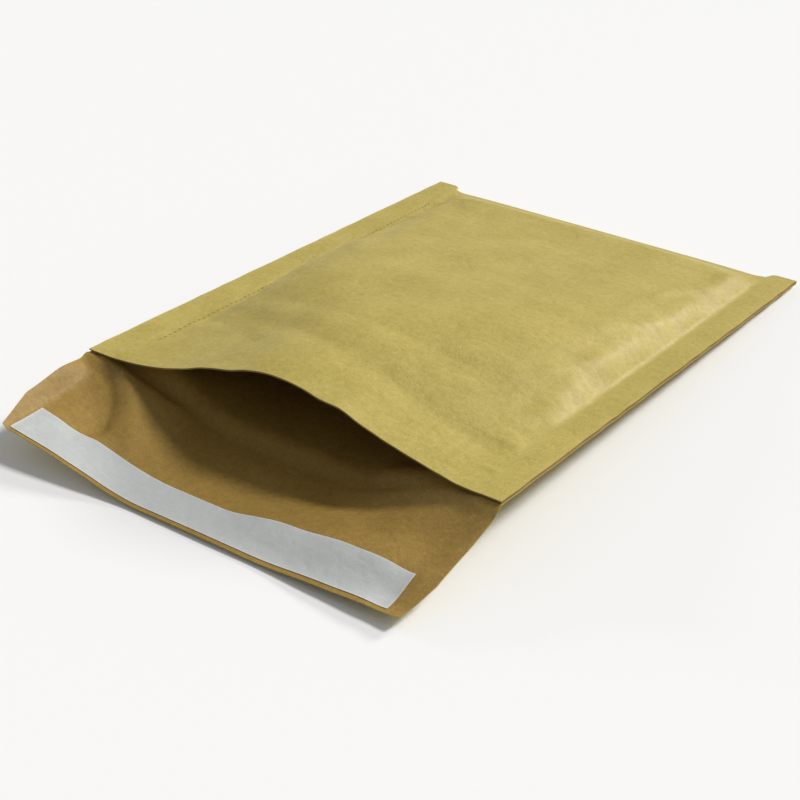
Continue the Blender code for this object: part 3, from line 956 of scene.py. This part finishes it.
columns = np.linspace(-CUSHION_BORDER, CUSHION_BORDER, STRIPS_ACROSS * COLUMNS_A_STRIP + 1)
near_outer = folded(columns, leg, share, INNER_DEPTH, 0)
near_inner = folded(columns, leg, share, OUTER_PLY - CUSHION_SHEET, 1)
strip_number = (np.arange(len(share)) // 2)[:, None]
phase = columns[None, :] * (HALF - BAND) / STRIP_LENGTH + strip_number
lean = 0.5 + 0.5 * np.sin(math.pi * phase)
points = near_outer + (near_inner - near_outer) * lean[..., None]
apart = np.abs(np.diff(lean, axis=0))
joined = (apart[:, 1:] + apart[:, :-1]) / 2 < JOINED_WITHIN
within_strip = (np.arange(len(share) - 1) % 2 == 0)[:, None]
mesh = grid_mesh("slit_cushion", points, faces_kept=joined | within_strip)
slit_cushion = paper_piece(
    "slit_cushion", mesh, CUSHION_SHEET, slit_paper, slit_paper, "padding"
)

# %% [markdown]
# ## The closure on the flap
# A band of hot-melt glue runs along the flap, and a strip of white silicone-coated paper covers it until the
# bag is sealed. Both are thin bands that follow the flap's curl exactly, so they read their height from the
# flap's own rule. Flat boxes would cut through the curled paper.

# %% A finish for glue
GLUE_RELIEF = 0.05 * MM


def glue_finish(name, place_of, pattern, dark, light, rough, bump):
    """Amber glue: noise at a place gives its colour, from dark to light, and its relief."""
    made, tree, shader = new_finish(name)
    tone = stretch(tree, noise(tree, place_of(tree), *pattern), *CLOUD_SPAN)
    tree.links.new(mix(tree, tone, dark, light), shader.inputs["Base Color"])
    shader.inputs["Roughness"].default_value = rough
    relief = add(tree, "ShaderNodeBump", {"Height": tone, "Distance": GLUE_RELIEF, "Strength": bump})
    tree.links.new(relief.outputs[0], shader.inputs["Normal"])
    return made, shader


print(f"glue has {1000 * GLUE_RELIEF:.2f} mm of relief")

# %% Glue band
GLUE_THICKNESS = 0.08 * MM
GLUE_INSET = 1 * MM
GLUE_GRID = (9, 160)
GLUE_DARK = (0.55, 0.4, 0.18, 1)
GLUE_LIGHT = (0.7, 0.55, 0.3, 1)
GLUE_RIBS = (0.5, 3.0, 0.55)
RIB_STRETCH = (0.4, 2, 1)
GLUE_ROUGHNESS = 0.28
GLUE_BUMP = 0.8
GLUE_COAT = 0.3
STRIP_OUT = 0.7 * MM
STRIP_TURN = 0.6 * MM


def band_on_flap(low, high, depth, grid):
    """A rectangle in plan between two corners, run a little askew, on the flap's skin at a depth."""
    rows, count = grid
    x, y = np.meshgrid(np.linspace(low[0], high[0], count), np.linspace(low[1], high[1], rows) - MOUTH_Y)
    y = y - STRIP_OUT + STRIP_TURN * (x - strip_low[0]) / (strip_high[0] - strip_low[0])
    return np.stack([x, y + MOUTH_Y, back_skin(x, y) + depth], -1)


def ribs_place(tree):
    """The flat sheet's places, for a pattern that is drawn out along the band."""
    return millimetres(tree, RIB_STRETCH)


glue, glue_shader = glue_finish(
    "hot_melt", ribs_place, GLUE_RIBS, GLUE_DARK, GLUE_LIGHT, GLUE_ROUGHNESS, GLUE_BUMP
)
glue_shader.inputs["Coat Weight"].default_value = GLUE_COAT
inset = np.array([GLUE_INSET, GLUE_INSET])
glue_depth = OUTER_PLY + INNER_PLY + 2 * FLAP_CLEARANCE
points = band_on_flap(strip_low[:2] + inset, strip_high[:2] - inset, glue_depth, GLUE_GRID)
mesh = grid_mesh("glue_band", points)
paper_piece("glue_band", mesh, GLUE_THICKNESS, glue, glue, "closure_adhesive")

# %% Release strip
STRIP_THICKNESS = 0.1 * MM
STRIP_GRID = (25, 200)
STRIP_BORDER_PALER = 4.0

strip_depth = glue_depth + GLUE_THICKNESS + FLAP_CLEARANCE
points = band_on_flap(strip_low[:2], strip_high[:2], strip_depth, STRIP_GRID)
# The strip's border rows are painted paler, which draws thin pale lines along its edges; the shader reads
# them through its wear attribute.
border = np.zeros(points.shape[:2])
border[[0, -1], :] = STRIP_BORDER_PALER
border[:, [0, -1]] = STRIP_BORDER_PALER
mesh = grid_mesh("release_strip", points, wear=border)
release_strip = paper_piece(
    "release_strip", mesh, STRIP_THICKNESS, release_paper, release_paper, "release_liner"
)

# %% [markdown]
# ## The glue lines in the seams
# Two thin lines of glue join the panels inside the side bands. They are right as they are and nobody sees
# them until the bag is torn open, so the solids stay and only get the look of dried glue, which has soaked
# unevenly into the paper. They have no UV map, so their pattern follows the object's own places, in metres.

# %% Seam glue
SEAM_DARK = (0.45, 0.33, 0.16, 1)
SEAM_LIGHT = (0.66, 0.53, 0.3, 1)
SEAM_PATCHES = (400, 3.0, 0.55)
SEAM_ROUGHNESS = 0.5
SEAM_BUMP = 0.7


def object_place(tree):
    """The place on the object, in metres."""
    return add(tree, "ShaderNodeTexCoord").outputs["Object"]


seam_finish, seam_shader = glue_finish(
    "seam_glue_finish", object_place, SEAM_PATCHES, SEAM_DARK, SEAM_LIGHT, SEAM_ROUGHNESS, SEAM_BUMP
)
for name in ("seam_glue_left", "seam_glue_right"):
    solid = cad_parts[name]
    solid.data.materials.clear()
    solid.data.materials.append(seam_finish)
print(f"seam glue finished, with a roughness of {seam_shader.inputs['Roughness'].default_value:.1f}")

# %% [markdown]
# ## Floor and light
# The bag lies on a pale studio floor. Two soft boxes stand behind it on the right, one above the other: they
# draw the sheen along the right shoulder and leave the inside of the mouth dark. A low strip light on the
# left catches the end of the flap, and an even pale sky fills the rest. Together they light a level surface
# about as brightly as its colour is written. Past the floor's end the camera sees the sky as white.

# %% Floor
FLOOR_SIZE = 6.0
FLOOR_COLOUR = (0.88, 0.88, 0.88, 1)
FLOOR_ROUGHNESS = 0.9
FLOOR_SPECULAR = 0.1

half = FLOOR_SIZE / 2
corners = [(-half, -half, 0), (half, -half, 0), (half, half, 0), (-half, half, 0)]
floor_mesh = bpy.data.meshes.new("floor")
floor_mesh.from_pydata(corners, [], [(0, 1, 2, 3)])
floor = bpy.data.objects.new("floor", floor_mesh)
bpy.context.scene.collection.objects.link(floor)
floor_finish, _, floor_shader = new_finish("studio_floor")
floor_shader.inputs["Base Color"].default_value = FLOOR_COLOUR
floor_shader.inputs["Roughness"].default_value = FLOOR_ROUGHNESS
floor_shader.inputs["Specular IOR Level"].default_value = FLOOR_SPECULAR
floor_mesh.materials.append(floor_finish)
print(f"floor {FLOOR_SIZE:.0f} m square")

# %% Lamps
LAMP_COLOUR = (1.0, 0.985, 0.96)
LAMPS = [
    # name, degrees to the right of straight behind, degrees up, strength and soft angle
    ("high_softbox", 45, 48, 2.3, 13),
    ("back_softbox", 18, 28, 1.35, 14),
    ("left_strip_light", -90, 14, 0.45, 12),
]

for name, aside, up, strength, spread in LAMPS:
    lamp_data = bpy.data.lights.new(name, "SUN")
    lamp_data.energy = strength
    lamp_data.angle = math.radians(spread)
    lamp_data.color = LAMP_COLOUR
    lamp = bpy.data.objects.new(name, lamp_data)
    lamp.rotation_euler = (math.radians(90 - up), 0, math.radians(180 - aside))
    bpy.context.scene.collection.objects.link(lamp)
from_lamps = sum(strength * math.sin(math.radians(up)) / math.pi for _, _, up, strength, _ in LAMPS)
print(f"the lamps give a level surface {from_lamps:.2f} of what white needs")

# %% Sky
FILL = 0.3
BACKDROP = 0.95
FILL_COLOUR = (0.97, 0.985, 1.0, 1)
BACKDROP_COLOUR = (1.0, 0.995, 0.975, 1)

world = bpy.data.worlds.new("sky")
world.use_nodes = True
bpy.context.scene.world = world
sky = world.node_tree
seen = add(sky, "ShaderNodeLightPath").outputs["Is Camera Ray"]
tint = mix(sky, seen, FILL_COLOUR, BACKDROP_COLOUR)
brightness = add_up(sky, (seen, BACKDROP - FILL), (1.0, FILL))
sky.links.new(tint, sky.nodes["Background"].inputs["Color"])
sky.links.new(brightness, sky.nodes["Background"].inputs["Strength"])
bpy.context.scene.view_settings.view_transform = "Standard"
print(f"a level surface gets {FILL + from_lamps:.2f} of what white needs")

# %% [markdown]
# ## The camera
# The photograph looks down on the bag from its right front. The camera's place, its direction and its lens
# were worked out from the corners of the bag in the picture and their real distances, so the bag fills the
# frame as it does there.

# %% Camera
CAMERA_AT = (0.29068, -0.43001, 0.29620)
CAMERA_TURN = 35.284
CAMERA_DOWN = 31.085
CAMERA_LENS = 73.46
SENSOR = 36.0

camera_data = bpy.data.cameras.new("camera")
camera_data.sensor_width = SENSOR
camera_data.lens = CAMERA_LENS
camera = bpy.data.objects.new("camera", camera_data)
bpy.context.scene.collection.objects.link(camera)
camera.location = CAMERA_AT
camera.rotation_euler = (math.radians(90 - CAMERA_DOWN), 0, math.radians(CAMERA_TURN))
bpy.context.scene.camera = camera
print(f"camera {math.dist(CAMERA_AT, (0, 0, 0)):.2f} m from the bag's middle")
